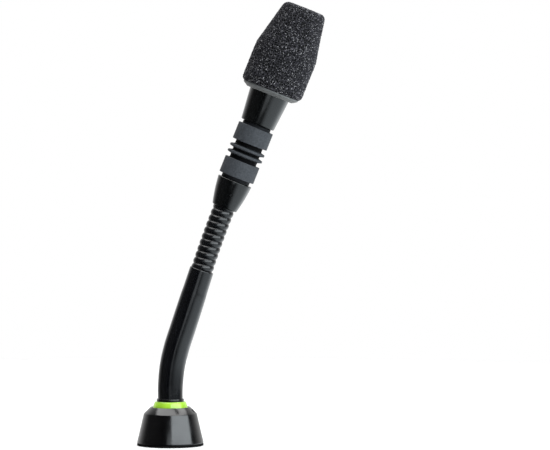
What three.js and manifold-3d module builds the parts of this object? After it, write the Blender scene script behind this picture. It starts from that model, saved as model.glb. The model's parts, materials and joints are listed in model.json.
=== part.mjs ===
// Gooseneck desk microphone, screwed to a table top through one hole.
//
// The row frame is millimetres with +Z up. The origin is the centre of the hole, on the table's surface,
// where the rubber gasket under the base sits. The neck leans towards +X, and everything above the base
// follows it. From the bottom up: a hollow threaded stud with its washers and nut, the base with its boards
// and light ring, a smooth sleeved stretch of flexible neck, a ribbed stretch, the neck adapter, a rubber
// shock mount, the head housing, and a screw-in capsule under a pull-off foam windscreen.
import * as THREE from 'three';
import { mergeVertices } from 'three/addons/utils/BufferGeometryUtils.js';
import Module from 'manifold-3d';

const wasm = await Module();
wasm.setup();

// ---------------------------------------------------------------- driving dimensions

const SIDES = 24; // facets round the base, the head and the foam
const NECK_SIDES = 16; // facets round the neck's links
const SMALL_SIDES = 12; // facets round screws, posts and pins
const GAP = 0.05; // between pieces that are fixed to each other
const SLIP = 0.15; // between a piece and the hole that it turns or slides in

const GASKET = { radius: 13, thickness: 0.8 };
const BASE = {
  radius: 13, // at the lip above the gasket
  lip: 0.5,
  shoulderRadius: 10.4,
  shoulderZ: 12.45,
  rimRadius: 7.8,
  rimZ: 15,
  seatRadius: 7.3, // recess that the light ring sits in
  seatZ: 14.5,
  openingRadius: 5.9, // the neck's plug and the light pass through it
  ceilingZ: 12.3,
  ceilingRadius: 8.7,
  wallRadius: 11, // inside, at the bottom
};
const PLATE = { radius: 11.5, topZ: 2.4 };
const POSTS = { distance: 7.9, radius: 1.3, hole: 1.0, angles: [45, 225] };
const STUD = { radius: 4.95, bore: 3.3, length: 32, flangeRadius: 6.4, flangeThickness: 1.8 };
const DESK = 18; // thickness of the table top between the gasket and the washers
const ISOLATION_WASHER = { radius: 10.5, thickness: 2 };
const STEEL_WASHER = { radius: 9, thickness: 1.5 };
const NUT = { acrossFlats: 14, thickness: 4 };

const BOARD = { radius: 9.4, z: 7, thickness: 1 };
const LED_BOARD = { inner: 4.7, outer: 8.3, z: 11, thickness: 0.7 };
const LED = { radial: 1.2, across: 1.6, height: 0.5, distance: 5.2, angles: [0, 180] };
const SOCKET = { outer: 4.3, inner: 3.35, floor: 0.8, topZ: 11.9 };
const LOCK_SCREW = { radius: 0.75, z: 13.5, end: 9.2, angle: -8 };

const LIGHT_RING = { bottomRadius: 7.05, topRadius: 6.2, bore: 4.65, topZ: 17.15, edge: 0.3 };
const PLUG = { radius: 4.4, pinRadius: 3.2, spigotRadius: 3, bore: 1.5, spigotTopZ: 20.8 };
const FLANGE = { radius: 5.35, thickness: 1 };
const LEAD = 1; // radius of the signal cable inside the neck

const NECK = {
  startZ: 18.2,
  rise: 3, // straight up, before the resting curve starts
  bendRadius: 60, // of that curve
  straightTilt: 18.1, // degrees from vertical, where it ends
  lower: 52.4, // length of the sleeved stretch
  upper: 25.7, // length of the ribbed stretch
  headTilt: 21.8, // degrees from vertical, at the head
  bore: 1.8,
};
const SLEEVE = {
  bottomRadius: 4.85,
  topRadius: 4.75,
  swell: 0.22, // half way up
  firstJoint: 5,
  jointSpacing: 7.6,
  joints: 6,
  halfGap: 0.9, // at each joint, which leaves room for 15 degrees each way
  ball: 4.2,
  cup: 4.5,
};
const TURN = { crest: 4.3, valley: 3.8, pitch: 2.5, firstJoint: 1.6, joints: 10, halfGap: 0.35 };
const FERRULE = { outer: 3.85, inner: 2, length: 5.2 };

// Heights along the head's own axis, from the bottom of the adapter.
const ADAPTER = { bottomRadius: 4.95, topRadius: 6.9, length: 11.4, wellRadius: 5, wellZ: 8 };
const GRUB = { radius: 0.55, h: 5.8, inner: 3.2, angle: -80 };
const SHOCK = {
  neckRadius: 5.7,
  collarRadius: 7.1,
  coreRadius: 5.5,
  finRadius: 7.15,
  finTip: 0.4, // half thickness at the rim
  finRoot: 0.85, // half thickness at the core
  lowerCollar: [12.85, 19.5],
  lowerJoint: 20.3,
  fins: [21.9, 24.4],
  upperJoint: 25.6,
  upperCollar: [26.85, 33.7],
  top: 34.95,
  halfGap: 0.3, // at each joint, which leaves room for 4 degrees each way
  bore: 2.6,
  pocketRadius: 4.6,
};
const INSERT = { radius: 2.5, flangeRadius: 4.5, flange: 1, bore: 1.2 };
const HOUSING = {
  z: 35.05,
  bottomRadius: 6.8,
  shoulder: 47.6,
  topRadius: 8,
  top: 50.5,
  bore: 5.5,
  floor: 37.6,
};
const CAPSULE = {
  thread: 5.2,
  radius: 6.1,
  bottom: 46.5,
  shoulder: 51.15,
  body: 59,
  top: 61,
  cavity: 5.1,
  floor: 53,
};
const SEAL = { inner: 5.35, outer: 6.6, thickness: 0.5 };
const CLIP = { inner: 8.15, bottomRadius: 9.35, topRadius: 11.35, bottom: 47.65, top: 49.45 };
const FOAM = {
  radius: 12.3,
  bottom: 49.5,
  taper: 65.1, // where the straight side ends
  top: 83.9,
  topRadius: 8.95,
  edge: 1.7, // rounding of the top's edge
  collarCavity: 8.3,
  capsuleCavity: 6.7,
  step: 51.2,
  cavityTop: 66,
};

// ---------------------------------------------------------------- materials

const material = (color, roughness, metalness = 0) =>
  new THREE.MeshStandardMaterial({ color, roughness, metalness });

const blackPaint = material(0x0c0d0f, 0.25, 0.2);
const satinPaint = material(0x121416, 0.4, 0.2);
const sleeveRubber = material(0x16181a, 0.45);
const ribPaint = material(0x14161a, 0.3);
const mountRubber = material(0x33383c, 0.7);
const gasketRubber = material(0x050505, 0.8);
const foamPlastic = material(0x1d1c21, 0.95);
const clipPlastic = material(0x5c605f, 0.6);
const greenAcrylic = material(0x8fdc1e, 0.2);
const steel = material(0x9a9ca0, 0.35, 1);
const brass = material(0xb08d3c, 0.35, 1);
const boardGreen = material(0x1d5a34, 0.5);
const partBlack = material(0x18181a, 0.5);
const ledWhite = material(0xe8f0c8, 0.3);
const cableGrey = material(0x3a3c40, 0.6);

// ---------------------------------------------------------------- shapes

const radians = THREE.MathUtils.degToRad;

// A closed outline of [radius, height] points turned about Z, with its faces outwards whichever way it
// is listed.
function lathe(outline, sides = SIDES) {
  const points = outline.map(([r, z]) => new THREE.Vector2(r, z));
  if (THREE.ShapeUtils.area(points) < 0) points.reverse();
  points.push(points[0].clone());
  return new THREE.LatheGeometry(points, sides).rotateX(Math.PI / 2);
}

// A washer, tube or disc between two heights; an inner radius of 0 makes it solid.
function ring(inner, outer, bottom, top, sides = SIDES) {
  if (inner > 0) {
    return lathe([[inner, bottom], [outer, bottom], [outer, top], [inner, top]], sides);
  }
  return new THREE.CylinderGeometry(outer, outer, top - bottom, sides)
    .rotateX(Math.PI / 2)
    .translate(0, 0, (bottom + top) / 2);
}

// Points of a circular arc about the axis, from one angle to another, measured from +Z, in degrees.
function arc(centreZ, radius, from, to, steps) {
  return Array.from({ length: steps + 1 }, (_, i) => {
    const angle = radians(from + ((to - from) * i) / steps);
    return [radius * Math.sin(angle), centreZ + radius * Math.cos(angle)];
  });
}

// A cylinder along +X, turned about Z by an angle in degrees and lifted to a height.
function radialPin(radius, from, to, angle, z, sides = SMALL_SIDES) {
  return ring(0, radius, from, to, sides)
    .rotateY(Math.PI / 2)
    .rotateZ(radians(angle))
    .translate(0, 0, z);
}

function box(x, y, z, centre) {
  return new THREE.BoxGeometry(x, y, z).translate(...centre);
}

function polar(distance, angle) {
  return [distance * Math.cos(radians(angle)), distance * Math.sin(radians(angle))];
}

function solidOf(geometry) {
  const bare = geometry.clone();
  bare.deleteAttribute('normal');
  bare.deleteAttribute('uv');
  const merged = mergeVertices(bare, 1e-4);
  return new wasm.Manifold(
    new wasm.Mesh({
      numProp: 3,
      vertProperties: merged.attributes.position.array,
      triVerts: new Uint32Array(merged.index.array),
    }),
  );
}

function geometryOf(solid) {
  const mesh = solid.getMesh();
  return new THREE.BufferGeometry()
    .setAttribute('position', new THREE.BufferAttribute(mesh.vertProperties, 3))
    .setIndex(new THREE.BufferAttribute(mesh.triVerts, 1));
}

function cut(geometry, ...tools) {
  return geometryOf(tools.reduce((made, tool) => made.subtract(solidOf(tool)), solidOf(geometry)));
}

function join(geometry, ...others) {
  return geometryOf(others.reduce((made, other) => made.add(solidOf(other)), solidOf(geometry)));
}

function piece(parent, name, geometry, look) {
  const mesh = new THREE.Mesh(geometry, look);
  mesh.name = name;
  parent.add(mesh);
  return mesh;
}

// ---------------------------------------------------------------- the neck's resting line

// The point and tilt of the neck's centre line at a length along it: straight up, a circular arc, a leaning
// straight, then a second, very slight arc through the ribbed stretch.
function neckAt(length) {
  const bent = NECK.bendRadius * radians(NECK.straightTilt);
  let tilt = Math.min(Math.max(length - NECK.rise, 0), bent) / NECK.bendRadius;
  let x = NECK.bendRadius * (1 - Math.cos(tilt));
  let z = NECK.startZ + Math.min(length, NECK.rise) + NECK.bendRadius * Math.sin(tilt);
  const curveEnd = NECK.rise + bent;
  const straight = Math.min(Math.max(length - curveEnd, 0), NECK.lower - curveEnd);
  x += straight * Math.sin(tilt);
  z += straight * Math.cos(tilt);
  if (length > NECK.lower) {
    const radius = NECK.upper / radians(NECK.headTilt - NECK.straightTilt);
    const upTilt = tilt + (length - NECK.lower) / radius;
    x += radius * (Math.cos(tilt) - Math.cos(upTilt));
    z += radius * (Math.sin(upTilt) - Math.sin(tilt));
    tilt = upTilt;
  }
  return { x, z, tilt };
}

// A group whose own Z axis runs along the neck from one length to another.
function neckGroup(parent, from, to) {
  const start = neckAt(from);
  const end = neckAt(to);
  const group = new THREE.Group();
  group.position.set(start.x, 0, start.z);
  group.rotation.y = Math.atan2(end.x - start.x, end.z - start.z);
  group.userData.length = Math.hypot(end.x - start.x, end.z - start.z);
  parent.add(group);
  return group;
}

const sleeveJoint = (i) => SLEEVE.firstJoint + i * SLEEVE.jointSpacing;
const turnJoint = (i) => NECK.lower + TURN.firstJoint + i * TURN.pitch;
const sleeveRadius = (length) => {
  const share = length / NECK.lower;
  const swell = SLEEVE.swell * Math.sin(Math.PI * share);
  return THREE.MathUtils.lerp(SLEEVE.bottomRadius, SLEEVE.topRadius, share) + swell;
};

// ---------------------------------------------------------------- base

function baseShell() {
  const b = BASE;
  const bottom = GASKET.thickness + GAP;
  const shell = lathe([
    [b.radius - 0.25, bottom],
    [b.radius, bottom + 0.25],
    [b.radius, bottom + b.lip],
    [b.shoulderRadius, b.shoulderZ],
    [b.rimRadius, b.rimZ],
    [b.seatRadius, b.rimZ],
    [b.seatRadius, b.seatZ],
    [b.openingRadius, b.seatZ],
    [b.openingRadius, b.ceilingZ],
    [b.ceilingRadius, b.ceilingZ],
    [b.wallRadius, PLATE.topZ + 0.1],
    [PLATE.radius + 0.1, PLATE.topZ + 0.1],
    [PLATE.radius + 0.1, bottom],
  ]);
  const screwHole = radialPin(LOCK_SCREW.radius + 0.1, 5, 14, LOCK_SCREW.angle, LOCK_SCREW.z);
  return cut(shell, screwHole);
}

function basePlate() {
  const bottom = GASKET.thickness + GAP;
  const plate = ring(STUD.radius + SLIP, PLATE.radius, bottom, PLATE.topZ);
  const posts = POSTS.angles.map((angle) =>
    ring(0, POSTS.radius, PLATE.topZ - 0.5, BOARD.z - GAP, SMALL_SIDES).translate(
      ...polar(POSTS.distance, angle),
      0,
    ),
  );
  const holes = POSTS.angles.map((angle) =>
    ring(0, POSTS.hole - 0.1, 3.4, BOARD.z + 1, SMALL_SIDES).translate(...polar(POSTS.distance, angle), 0),
  );
  return cut(join(plate, ...posts), ...holes);
}

function stud() {
  const flangeBottom = PLATE.topZ + GAP;
  const flangeTop = flangeBottom + STUD.flangeThickness;
  return lathe([
    [STUD.bore, -STUD.length],
    [STUD.radius - 0.5, -STUD.length],
    [STUD.radius, -STUD.length + 0.5],
    [STUD.radius, flangeBottom],
    [STUD.flangeRadius, flangeBottom],
    [STUD.flangeRadius, flangeTop],
    [STUD.bore, flangeTop],
  ]);
}

function nut(top) {
  const corner = NUT.acrossFlats / Math.sqrt(3);
  const hexagon = new THREE.Shape();
  for (let i = 0; i < 6; i += 1) {
    const [x, y] = polar(corner, 60 * i + 30);
    if (i === 0) hexagon.moveTo(x, y);
    else hexagon.lineTo(x, y);
  }
  const hole = new THREE.Path();
  hole.absarc(0, 0, STUD.radius + SLIP, 0, 2 * Math.PI, true);
  hexagon.holes.push(hole);
  return new THREE.ExtrudeGeometry(hexagon, {
    depth: NUT.thickness,
    bevelEnabled: false,
    curveSegments: 12,
  }).translate(0, 0, top - NUT.thickness);
}

function deskFixing(parent) {
  const hole = STUD.radius + SLIP + 0.1;
  const rubberBottom = -DESK - ISOLATION_WASHER.thickness;
  const steelTop = rubberBottom - GAP;
  const steelBottom = steelTop - STEEL_WASHER.thickness;
  piece(parent, 'mounting_stud', stud(), steel);
  piece(parent, 'isolation_washer', ring(hole, ISOLATION_WASHER.radius, rubberBottom, -DESK), gasketRubber);
  piece(parent, 'steel_washer', ring(hole, STEEL_WASHER.radius, steelBottom, steelTop), steel);
  piece(parent, 'mounting_nut', nut(steelBottom - SLIP), steel);
}

function electronics(parent) {
  const boardTop = BOARD.z + BOARD.thickness;
  const onBoard = boardTop + GAP;
  const ledTop = LED_BOARD.z + LED_BOARD.thickness;
  const screwHoles = POSTS.angles.map((angle) =>
    ring(0, POSTS.hole, BOARD.z - 1, boardTop + 1, SMALL_SIDES).translate(...polar(POSTS.distance, angle), 0),
  );
  piece(parent, 'preamp_board', cut(ring(0, BOARD.radius, BOARD.z, boardTop), ...screwHoles), boardGreen);
  POSTS.angles.forEach((angle, i) => {
    const shank = ring(0, 0.8, 3.6, onBoard + 0.2, SMALL_SIDES);
    const head = ring(0, 1.3, onBoard, onBoard + 0.8, SMALL_SIDES);
    const screw = join(shank, head).translate(...polar(POSTS.distance, angle), 0);
    piece(parent, `board_screw_${i + 1}`, screw, steel);
  });
  piece(parent, 'preamp_chip', box(3, 3, 1, [-6.6, 0, onBoard + 0.5]), partBlack);
  const capacitor = ring(0, 1.4, onBoard, onBoard + 2.6, SMALL_SIDES).translate(0, 6.6, 0);
  piece(parent, 'preamp_capacitor', capacitor, partBlack);
  piece(parent, 'output_terminal', box(5, 3, 1.9, [0, -5.5, BOARD.z - GAP - 0.95]), partBlack);
  const headerHeight = LED_BOARD.z - GAP - onBoard;
  piece(parent, 'board_header', box(2, 3, headerHeight, [6.6, 0, onBoard + headerHeight / 2]), partBlack);
  piece(parent, 'led_board', ring(LED_BOARD.inner, LED_BOARD.outer, LED_BOARD.z, ledTop), boardGreen);
  LED.angles.forEach((angle, i) => {
    const led = box(LED.radial, LED.across, LED.height, [LED.distance, 0, ledTop + GAP + LED.height / 2]);
    piece(parent, `led_${i + 1}`, led.rotateZ(radians(angle)), ledWhite);
  });
  const socket = lathe(
    [
      [0, onBoard],
      [SOCKET.outer, onBoard],
      [SOCKET.outer, SOCKET.topZ],
      [SOCKET.inner, SOCKET.topZ],
      [SOCKET.inner, onBoard + SOCKET.floor],
      [0, onBoard + SOCKET.floor],
    ],
    NECK_SIDES,
  );
  piece(parent, 'neck_socket', socket, partBlack);
}

function lightRing() {
  const r = LIGHT_RING;
  const bottom = BASE.seatZ + GAP;
  return lathe([
    [r.bore, bottom],
    [r.bottomRadius, bottom],
    [r.topRadius, r.topZ - r.edge],
    [r.topRadius - r.edge, r.topZ],
    [r.bore, r.topZ],
  ]);
}

// The neck's bottom fitting: pins in the socket, a body that the lock screw bears on, and a spigot in the
// sleeve.
function neckPlug() {
  const p = PLUG;
  const step = SOCKET.topZ + 0.1;
  return lathe(
    [
      [p.bore, 9],
      [p.pinRadius, 9],
      [p.pinRadius, step],
      [p.radius, step],
      [p.radius, LIGHT_RING.topZ],
      [p.spigotRadius, LIGHT_RING.topZ],
      [p.spigotRadius, p.spigotTopZ],
      [p.bore, p.spigotTopZ],
    ],
    NECK_SIDES,
  );
}

function base(parent) {
  piece(parent, 'base_gasket', ring(STUD.radius + 0.35, GASKET.radius, 0, GASKET.thickness), gasketRubber);
  piece(parent, 'base_shell', baseShell(), blackPaint);
  piece(parent, 'base_plate', basePlate(), steel);
  deskFixing(parent);
  electronics(parent);
  const { radius, end, angle, z } = LOCK_SCREW;
  const screw = radialPin(radius, PLUG.radius + 0.1, end, angle, z);
  piece(parent, 'lock_screw', screw, partBlack);
  piece(parent, 'light_ring', lightRing(), greenAcrylic);
  piece(parent, 'neck_plug', neckPlug(), brass);
  const flangeBottom = LIGHT_RING.topZ + GAP;
  const flange = ring(PLUG.spigotRadius + 0.1, FLANGE.radius, flangeBottom, flangeBottom + FLANGE.thickness);
  piece(parent, 'neck_flange', flange, blackPaint);
  piece(parent, 'neck_lead_lower', ring(0, LEAD, 9.5, 22.5, SMALL_SIDES), cableGrey);
}

// ---------------------------------------------------------------- neck

// Outline of one rigid length of the sleeved neck: a cup at the bottom that takes the ball below, and a
// ball on top. Without a cup it is the first length, bored for the plug's spigot.
function sleeveOutline(length, bottomRadius, topRadius, hasCup, hasBall) {
  const { halfGap, ball, cup } = SLEEVE;
  const outline = [];
  if (hasCup) {
    const from = THREE.MathUtils.radToDeg(Math.asin(NECK.bore / cup));
    const to = THREE.MathUtils.radToDeg(Math.acos(halfGap / cup));
    outline.push(...arc(0, cup, from, to, 3), [bottomRadius, halfGap]);
  } else {
    const spigot = PLUG.spigotRadius + 0.1;
    outline.push([NECK.bore, 2.8], [spigot, 2.8], [spigot, GAP], [bottomRadius, GAP]);
  }
  if (hasBall) {
    const from = THREE.MathUtils.radToDeg(Math.acos(-halfGap / ball));
    const to = THREE.MathUtils.radToDeg(Math.asin(NECK.bore / ball));
    outline.push([topRadius, length - halfGap], ...arc(length, ball, from, to, 4));
  } else {
    const well = FERRULE.outer + 0.1;
    const floor = length - FERRULE.length - 0.5;
    outline.push([topRadius, length], [well, length], [well, floor], [NECK.bore, floor]);
  }
  return outline;
}

function sleeves(parent) {
  for (let i = 0; i <= SLEEVE.joints; i += 1) {
    const isFirst = i === 0;
    const isLast = i === SLEEVE.joints;
    const from = isFirst ? 0 : sleeveJoint(i - 1);
    const to = isLast ? NECK.lower : sleeveJoint(i);
    const group = neckGroup(parent, from, to);
    const outline = sleeveOutline(
      group.userData.length,
      sleeveRadius(from),
      sleeveRadius(to),
      !isFirst,
      !isLast,
    );
    piece(group, `sleeve_segment_${i}`, lathe(outline, NECK_SIDES), sleeveRubber);
    if (isLast) {
      const top = group.userData.length - 0.1;
      const ferrule = ring(FERRULE.inner, FERRULE.outer, top - FERRULE.length, top, NECK_SIDES);
      piece(group, 'neck_ferrule', ferrule, brass);
    }
  }
}

// One turn of the ribbed stretch between two heights, with its crest half way up.
function turnOutline(bottom, top) {
  const middle = (bottom + top) / 2;
  return [
    [NECK.bore, bottom],
    [TURN.valley, bottom],
    [TURN.crest, middle - 0.25],
    [TURN.crest, middle + 0.25],
    [TURN.valley, top],
    [NECK.bore, top],
  ];
}

function turns(parent) {
  for (let i = 0; i <= TURN.joints; i += 1) {
    const isFirst = i === 0;
    const isLast = i === TURN.joints;
    const from = isFirst ? NECK.lower : turnJoint(i - 1);
    const to = isLast ? NECK.lower + NECK.upper : turnJoint(i);
    const group = neckGroup(parent, from, to);
    const bottom = isFirst ? GAP : TURN.halfGap;
    const top = group.userData.length - (isLast ? GAP : TURN.halfGap);
    const name = `neck_turn_${String(i).padStart(2, '0')}`;
    const isStub = isFirst || isLast;
    const shape = isStub
      ? ring(NECK.bore, TURN.valley, bottom, top, NECK_SIDES)
      : lathe(turnOutline(bottom, top), NECK_SIDES);
    piece(group, name, shape, ribPaint);
  }
}

// ---------------------------------------------------------------- head, along its own axis

// The adapter swells from the ribbed neck to the shock mount along a shallow arc.
function adapterRadius(h) {
  const share = h / ADAPTER.length;
  const bulge = 0.25 * Math.sin(Math.PI * share);
  return THREE.MathUtils.lerp(ADAPTER.bottomRadius, ADAPTER.topRadius, share) + bulge;
}

function adapter() {
  const a = ADAPTER;
  const side = [0.1, 2, 4, 6, 8, 10, a.length - 0.2].map((h) => [adapterRadius(h), h]);
  const body = lathe([
    [2.2, 0.1],
    ...side,
    [a.topRadius - 0.2, a.length],
    [a.wellRadius, a.length],
    [a.wellRadius, a.wellZ],
    [INSERT.radius + 0.1, a.wellZ],
    [INSERT.radius + 0.1, 6.8],
    [2.2, 6.8],
  ]);
  return cut(body, radialPin(GRUB.radius + 0.1, GRUB.inner - 0.2, 9, GRUB.angle, GRUB.h));
}

// The rubber collar and neck at one end of the shock mount, hollowed for its metal insert.
function shockEnd(neckEnd, collar, joint, pocket) {
  const s = SHOCK;
  const outward = Math.sign(neckEnd - joint);
  const [near, far] = outward < 0 ? [collar[1], collar[0]] : [collar[0], collar[1]];
  return lathe([
    [s.bore, neckEnd],
    [s.neckRadius, neckEnd],
    [s.neckRadius, far],
    [s.collarRadius, far],
    [s.collarRadius, near],
    [s.coreRadius, near],
    [s.coreRadius, joint + outward * s.halfGap],
    [s.bore, joint + outward * s.halfGap],
    [s.bore, pocket[0]],
    [s.pocketRadius, pocket[0]],
    [s.pocketRadius, pocket[1]],
    [s.bore, pocket[1]],
  ]);
}

function shockBellows() {
  const s = SHOCK;
  const fins = s.fins.flatMap((h) => [
    [s.coreRadius, h - s.finRoot],
    [s.finRadius, h - s.finTip],
    [s.finRadius, h + s.finTip],
    [s.coreRadius, h + s.finRoot],
  ]);
  const bottom = s.lowerJoint + s.halfGap;
  const top = s.upperJoint - s.halfGap;
  return lathe([[s.bore, bottom], [s.coreRadius, bottom], ...fins, [s.coreRadius, top], [s.bore, top]]);
}

// A hollow metal stem with a flange that the rubber is moulded round.
function insert(bottom, top, flangeBottom) {
  const flangeTop = flangeBottom + INSERT.flange;
  return lathe(
    [
      [INSERT.bore, bottom],
      [INSERT.radius, bottom],
      [INSERT.radius, flangeBottom],
      [INSERT.flangeRadius, flangeBottom],
      [INSERT.flangeRadius, flangeTop],
      [INSERT.radius, flangeTop],
      [INSERT.radius, top],
      [INSERT.bore, top],
    ],
    NECK_SIDES,
  );
}

function shockMount(head) {
  const s = SHOCK;
  const play = 0.1;
  const lowFlange = 15.5;
  const highFlange = 29.5;
  const lowPocket = [lowFlange + INSERT.flange + play, lowFlange - play];
  const highPocket = [highFlange - play, highFlange + INSERT.flange + play];
  const low = shockEnd(ADAPTER.length + GAP, s.lowerCollar, s.lowerJoint, lowPocket);
  const high = shockEnd(s.top, s.upperCollar, s.upperJoint, highPocket);
  piece(head, 'shock_collar_lower', low, mountRubber);
  piece(head, 'shock_insert_lower', insert(7, 17.8, lowFlange), partBlack);
  piece(head, 'shock_bellows', shockBellows(), mountRubber);
  piece(head, 'shock_collar_upper', high, mountRubber);
  piece(head, 'shock_insert_upper', insert(28.2, 39.5, highFlange), partBlack);
}

function housing() {
  const h = HOUSING;
  const stem = INSERT.radius + 0.1;
  return lathe([
    [stem, h.z],
    [h.bottomRadius - 0.3, h.z],
    [h.bottomRadius, h.z + 0.3],
    [h.topRadius, h.shoulder],
    [h.topRadius, h.top - 0.3],
    [h.topRadius - 0.3, h.top],
    [h.bore, h.top],
    [h.bore, h.floor],
    [stem, h.floor],
  ]);
}

function capsuleBody() {
  const c = CAPSULE;
  return lathe([
    [0, c.bottom],
    [c.thread, c.bottom],
    [c.thread, c.shoulder],
    [c.radius, c.shoulder],
    [c.radius, c.body],
    [c.cavity, c.body],
    [c.cavity, c.floor],
    [0, c.floor],
  ]);
}

// The capsule's cap, with a ring of round sound openings in its top.
function capsuleGrille() {
  const c = CAPSULE;
  const cap = lathe([
    [0, c.body + 0.6],
    [c.cavity, c.body + 0.6],
    [c.cavity, c.body + GAP],
    [c.radius, c.body + GAP],
    [c.radius, c.top - 0.5],
    [c.radius - 0.5, c.top],
    [0, c.top],
  ]);
  const openings = Array.from({ length: 6 }, (_, i) =>
    ring(0, 1, c.body, c.top + 1, 10).translate(...polar(3.1, 60 * i), 0),
  );
  return cut(cap, ...openings);
}

function capsule(head) {
  const c = CAPSULE;
  const sealBottom = HOUSING.top + GAP;
  const seal = ring(SEAL.inner, SEAL.outer, sealBottom, sealBottom + SEAL.thickness);
  piece(head, 'capsule_seal', seal, gasketRubber);
  piece(head, 'capsule_body', capsuleBody(), brass);
  piece(head, 'capsule_element', ring(0, c.cavity - 0.15, c.floor + GAP, c.body - 1.5, NECK_SIDES), steel);
  piece(head, 'capsule_grille', capsuleGrille(), brass);
}

function clip() {
  const c = CLIP;
  return lathe([
    [c.inner, c.bottom],
    [c.bottomRadius, c.bottom],
    [c.topRadius - 0.1, c.top - 0.6],
    [c.topRadius, c.top],
    [c.inner, c.top],
  ]);
}

function foam() {
  const f = FOAM;
  return lathe([
    [f.collarCavity, f.bottom],
    [f.radius - 0.9, f.bottom],
    [f.radius, f.bottom + 1],
    [f.radius, f.taper],
    [f.topRadius, f.top - f.edge],
    [f.topRadius - f.edge * 0.35, f.top - f.edge * 0.35],
    [f.topRadius - f.edge, f.top],
    [0, f.top],
    [0, f.cavityTop],
    [f.capsuleCavity, f.cavityTop],
    [f.capsuleCavity, f.step],
    [f.collarCavity, f.step],
  ]);
}

function head(parent) {
  const group = new THREE.Group();
  const start = neckAt(NECK.lower + NECK.upper);
  group.position.set(start.x, 0, start.z);
  group.rotation.y = start.tilt;
  parent.add(group);
  piece(group, 'neck_adapter', adapter(), satinPaint);
  const grubOuter = adapterRadius(GRUB.h) - 0.3;
  const grub = radialPin(GRUB.radius, GRUB.inner, grubOuter, GRUB.angle, GRUB.h, 10);
  piece(group, 'adapter_grub_screw', grub, partBlack);
  piece(group, 'neck_lead_upper', ring(0, LEAD, 0.3, 6.5, SMALL_SIDES), cableGrey);
  shockMount(group);
  piece(group, 'head_housing', housing(), satinPaint);
  piece(group, 'head_board', ring(0, 5, 41.5, 42.3, NECK_SIDES), boardGreen);
  piece(group, 'contact_pin', ring(0, 0.6, 42.35, CAPSULE.bottom - 0.1, SMALL_SIDES), brass);
  capsule(group);
  piece(group, 'windscreen_clip', clip(), clipPlastic);
  piece(group, 'windscreen_foam', foam(), foamPlastic);
}

// ---------------------------------------------------------------- assembly

const microphone = new THREE.Group();
base(microphone);
sleeves(microphone);
turns(microphone);
head(microphone);

export default microphone;
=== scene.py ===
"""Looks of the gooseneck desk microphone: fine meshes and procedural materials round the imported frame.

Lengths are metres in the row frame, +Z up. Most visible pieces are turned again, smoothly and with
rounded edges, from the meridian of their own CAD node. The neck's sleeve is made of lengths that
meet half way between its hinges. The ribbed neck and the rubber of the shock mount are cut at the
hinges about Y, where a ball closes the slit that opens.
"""

import json
import math
import random
from collections import Counter

import bmesh
import bpy
import numpy as np
from mathutils import Matrix, Quaternion, Vector, kdtree

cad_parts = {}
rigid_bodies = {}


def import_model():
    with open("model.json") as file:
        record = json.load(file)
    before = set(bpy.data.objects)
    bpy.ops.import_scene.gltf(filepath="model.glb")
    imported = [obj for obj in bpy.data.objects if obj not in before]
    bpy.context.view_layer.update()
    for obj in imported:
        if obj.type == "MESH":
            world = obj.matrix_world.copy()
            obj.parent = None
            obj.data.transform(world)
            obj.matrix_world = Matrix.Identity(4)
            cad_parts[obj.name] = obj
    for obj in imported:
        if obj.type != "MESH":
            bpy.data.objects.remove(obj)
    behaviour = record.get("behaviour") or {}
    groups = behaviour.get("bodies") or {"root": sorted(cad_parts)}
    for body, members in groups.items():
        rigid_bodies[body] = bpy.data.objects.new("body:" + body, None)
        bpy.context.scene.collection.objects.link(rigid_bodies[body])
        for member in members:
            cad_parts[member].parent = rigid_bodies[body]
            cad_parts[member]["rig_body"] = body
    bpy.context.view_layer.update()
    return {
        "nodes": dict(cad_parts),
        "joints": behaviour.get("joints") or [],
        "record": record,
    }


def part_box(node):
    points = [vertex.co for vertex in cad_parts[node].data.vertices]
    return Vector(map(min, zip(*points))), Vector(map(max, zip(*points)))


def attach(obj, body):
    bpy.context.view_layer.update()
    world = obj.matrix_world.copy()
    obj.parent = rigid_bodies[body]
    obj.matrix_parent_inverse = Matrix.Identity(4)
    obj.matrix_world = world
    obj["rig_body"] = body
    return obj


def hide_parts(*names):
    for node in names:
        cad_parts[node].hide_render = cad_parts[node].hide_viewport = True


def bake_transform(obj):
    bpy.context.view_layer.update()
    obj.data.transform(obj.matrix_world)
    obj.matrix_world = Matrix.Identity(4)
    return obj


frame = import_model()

MM = 0.001
UP = Vector((0, 0, 1))
ROUND = 112  # facets round a turned piece
SMOOTH_ANGLE = 35  # degrees between two faces, from which their edge is sharp
ON_AXIS = 0.02 * MM  # an outline's point nearer to the axis than this is on it

# --------------------------------------------------------------------------- places from the frame

JOINTS = {joint["name"]: joint for joint in frame["joints"]}
NODES = frame["nodes"]


def joint_at(name):
    return Vector(JOINTS[name]["pos_m"])


def chain(prefix):
    """The hinges of one stretch of the neck, from its bottom to its top."""
    found = [j for j in frame["joints"] if j["name"].startswith(prefix)]
    return sorted(found, key=lambda j: j["pos_m"][2])


LOWER_JOINTS = chain("lower_neck")
UPPER_JOINTS = chain("upper_neck")
HEAD_AXIS = Vector(JOINTS["windscreen_pull_off"]["axis"]).normalized()


def span_along(node, axis, origin):
    """The least and greatest distance of a CAD node's vertices along an axis, from the origin."""
    distances = [(v.co - origin).dot(axis) for v in NODES[node].data.vertices]
    return min(distances), max(distances)


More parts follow.
